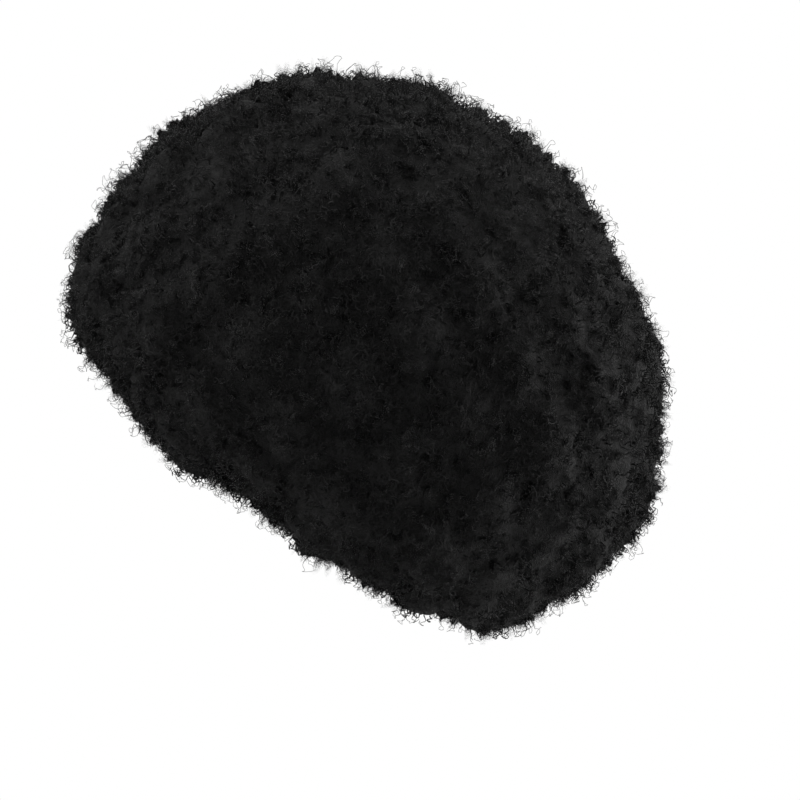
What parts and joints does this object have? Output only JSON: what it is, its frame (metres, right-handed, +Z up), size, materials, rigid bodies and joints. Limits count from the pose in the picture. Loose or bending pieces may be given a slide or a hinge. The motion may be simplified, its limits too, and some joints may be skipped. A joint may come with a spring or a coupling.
{
  "type": "afro wig",
  "caption": "Full round afro wig: a ball of short kinky black hair on a stretch cap with an elastic edge band, open below for the face and neck.",
  "frame": {"origin": "the top of the cap's inside, where the crown of the wearer's head touches it", "axes": "+Z up through the crown, -Y the way that the wearer's face looks, +X towards the wearer's left ear"},
  "size_m": [0.3515, 0.3695, 0.3481],
  "materials": {
    "cap_net": "matt black stretch net with rows of stitched weft",
    "elastic": "matt black ribbed elastic",
    "hair_fibre": "tightly kinked black fibre with a faint sheen"
  },
  "bodies": {
    "root": {"wig_cap": "cap_net", "edge_band": "elastic", "hair": "hair_fibre"}
  },
  "joints": []
}
